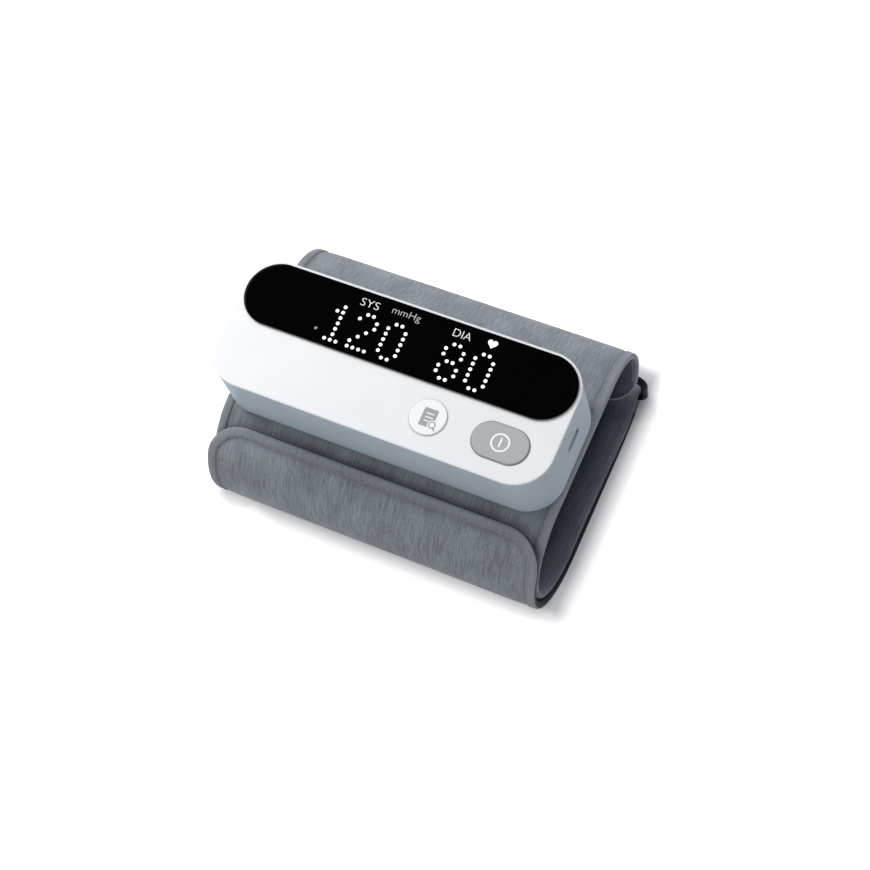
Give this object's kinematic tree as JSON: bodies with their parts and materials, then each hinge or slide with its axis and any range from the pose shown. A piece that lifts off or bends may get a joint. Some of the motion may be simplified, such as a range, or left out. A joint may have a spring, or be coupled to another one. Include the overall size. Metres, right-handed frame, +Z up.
{
  "type": "upper-arm blood pressure monitor",
  "caption": "Tubeless upper-arm cuff of grey fabric, closed through a D-ring, with a long slim measuring unit on top: dot display, start and memory buttons.",
  "frame": {"origin": "centre of the footprint, on the table that the closed cuff lies on", "axes": "+X along the unit and the arm, towards the charging port; +Y from the front flap to the back fold; +Z up"},
  "size_m": [0.1472, 0.106, 0.0892],
  "materials": {
    "cuff_fabric": "grey woven cloth",
    "binding": "woven edge tape",
    "lining": "smooth dark nylon",
    "bladder": "welded film",
    "hook_and_loop": "hook and loop tape",
    "webbing": "folded webbing",
    "ring_plastic": "gloss",
    "shell_grey": "fine satin",
    "shell_white": "satin gloss",
    "panel_black": "mirror gloss",
    "led": "diffuse",
    "board": "solder mask",
    "black_plastic": "moulded",
    "white_plastic": "moulded",
    "switch": "moulded",
    "steel": "plated",
    "button_grey": "satin",
    "button_white": "satin",
    "silicone": "soft",
    "foam": "foam",
    "battery_film": "shrink film"
  },
  "bodies": {
    "monitor": {"air_bladder": "bladder", "air_manifold": "white_plastic", "air_nipple": "black_plastic", "battery_pack": "battery_film", "battery_pad": "foam", "board_link": "black_plastic", "case_screws": "steel", "cuff_band": "cuff_fabric", "cuff_lining": "lining", "cuff_plate": "black_plastic", "cuff_screws": "steel", "display_board": "board", "display_lens": "panel_black", "edge_binding": "binding", "led_modules": "led", "loop_patch": "hook_and_loop", "lower_shell": "shell_grey", "main_board": "board", "memory_sleeve": "silicone", "memory_switch": "switch", "nipple_seal": "silicone", "pressure_sensor": "black_plastic", "pump_head": "black_plastic", "pump_hose": "silicone", "pump_motor": "steel", "pump_pad": "foam", "release_valve": "steel", "ring_loop": "webbing", "start_sleeve": "silicone", "start_switch": "switch", "top_shell": "shell_white", "usb_socket": "steel", "valve_hose": "silicone"},
    "start_button": {"start_button": "button_grey"},
    "memory_button": {"memory_button": "button_white"},
    "flap": {"outer_flap": "cuff_fabric", "flap_binding": "binding", "hook_patch": "hook_and_loop"},
    "d_ring": {"d_ring": "ring_plastic"}
  },
  "joints": [
    {"name": "start_button_press", "type": "slide", "parent": "monitor", "child": "start_button", "axis": [0, 0, -1], "range_m": [0, 0.0005], "stiffness_N_per_m": 1200, "springref_m": -0.0003, "deforming": ["start_sleeve"]},
    {"name": "memory_button_press", "type": "slide", "parent": "monitor", "child": "memory_button", "axis": [0, 0, -1], "range_m": [0, 0.0005], "stiffness_N_per_m": 1200, "springref_m": -0.0003, "deforming": ["memory_sleeve"]},
    {"name": "flap_peel", "type": "hinge", "parent": "monitor", "child": "flap", "pos_m": [0, -0.053, 0.0312], "axis": [1, 0, 0], "range_deg": [0, 100]},
    {"name": "d_ring_swing", "type": "hinge", "parent": "monitor", "child": "d_ring", "pos_m": [0, 0.04865, 0.02099], "axis": [1, 0, 0], "range_deg": [-2.5, 2.5]}
  ]
}
